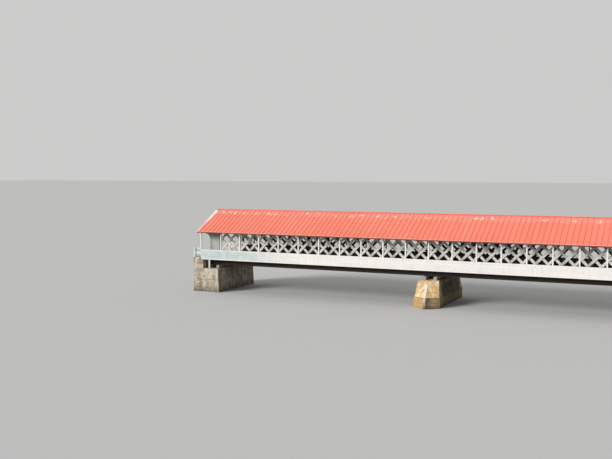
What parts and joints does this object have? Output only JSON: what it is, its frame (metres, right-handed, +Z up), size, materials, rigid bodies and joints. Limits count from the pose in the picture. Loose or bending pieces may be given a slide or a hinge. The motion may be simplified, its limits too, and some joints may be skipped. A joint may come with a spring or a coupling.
{
  "type": "covered lattice-truss bridge, 1:2 scale model",
  "caption": "Covered timber bridge of two spans with lattice trusses, open footways and a red metal roof on a pointed stone pier, modelled at half size.",
  "frame": {"origin": "centre of the pier's foot, at the lowest point of the bridge", "axes": "+X along the bridge to the picture's right, -Y to the camera's side, +Z up"},
  "size_m": [27.9664, 5.4116, 4.6744],
  "materials": {
    "pier_stone": "weathered, streaked stone",
    "base_stone": "damp, stained stone",
    "abutment_stone": "weathered stone",
    "nosing_steel": "worn pale paint",
    "old_timber": "dark unpainted weathered timber",
    "bed_timber": "grey weathered timber",
    "white_timber": "white paint, slightly weathered",
    "deck_timber": "worn bare planks",
    "eave_timber": "dark red-brown paint, weathered",
    "roof_metal": "red paint, sun faded",
    "roof_timber": "bare roof boards and rafters"
  },
  "bodies": {
    "root": {"pier": "pier_stone", "pier_plinth": "base_stone", "pier_nosings": "nosing_steel", "left_abutment": "abutment_stone", "right_abutment": "abutment_stone", "bed_timbers": "bed_timber", "front_lattice": "white_timber", "back_lattice": "white_timber", "front_lower_chords": "old_timber", "back_lower_chords": "old_timber", "front_upper_chords": "old_timber", "back_upper_chords": "old_timber", "floor_beams": "old_timber", "road_stringers": "old_timber", "road_deck": "deck_timber", "front_sidewalk_deck": "deck_timber", "back_sidewalk_deck": "deck_timber", "front_posts": "white_timber", "back_posts": "white_timber", "front_skirt": "white_timber", "back_skirt": "white_timber", "front_handrail": "white_timber", "back_handrail": "white_timber", "sidewalk_props": "white_timber", "approach_rails": "white_timber", "front_eave_plate": "white_timber", "back_eave_plate": "white_timber", "raising_plates": "old_timber", "fascias": "eave_timber", "tie_beams": "old_timber", "knee_braces": "old_timber", "front_rafters": "roof_timber", "back_rafters": "roof_timber", "front_roof_boards": "roof_timber", "back_roof_boards": "roof_timber", "front_metal_roof": "roof_metal", "back_metal_roof": "roof_metal", "ridge_cap": "roof_metal", "left_gable": "white_timber", "right_gable": "white_timber", "left_barge_boards": "white_timber", "right_barge_boards": "white_timber", "front_left_end_panel": "white_timber", "front_right_end_panel": "white_timber", "back_left_end_panel": "white_timber", "back_right_end_panel": "white_timber"}
  },
  "joints": []
}
